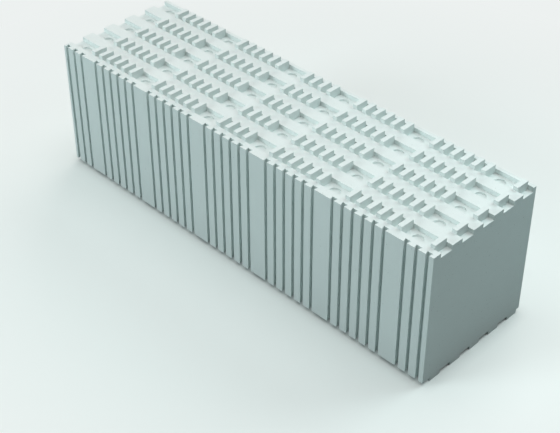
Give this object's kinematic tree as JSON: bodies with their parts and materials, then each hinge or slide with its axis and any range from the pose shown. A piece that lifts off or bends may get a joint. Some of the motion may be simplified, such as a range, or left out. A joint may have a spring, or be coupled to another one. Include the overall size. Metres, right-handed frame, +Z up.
{
  "type": "interlocking concrete block",
  "caption": "Long interlocking block with upright dovetail grooves in its front face, rows of small nubs and pockets on top and matching keys and sockets underneath.",
  "frame": {"origin": "on the floor, under the middle of the block's box", "axes": "+X along the block, +Y from the grooved front face to the plain back face, +Z up"},
  "size_m": [1.05, 0.3, 0.318],
  "materials": {
    "concrete": "fine, smooth, matt pale grey with a faint green cast"
  },
  "bodies": {
    "root": {"block": "concrete"}
  },
  "joints": []
}
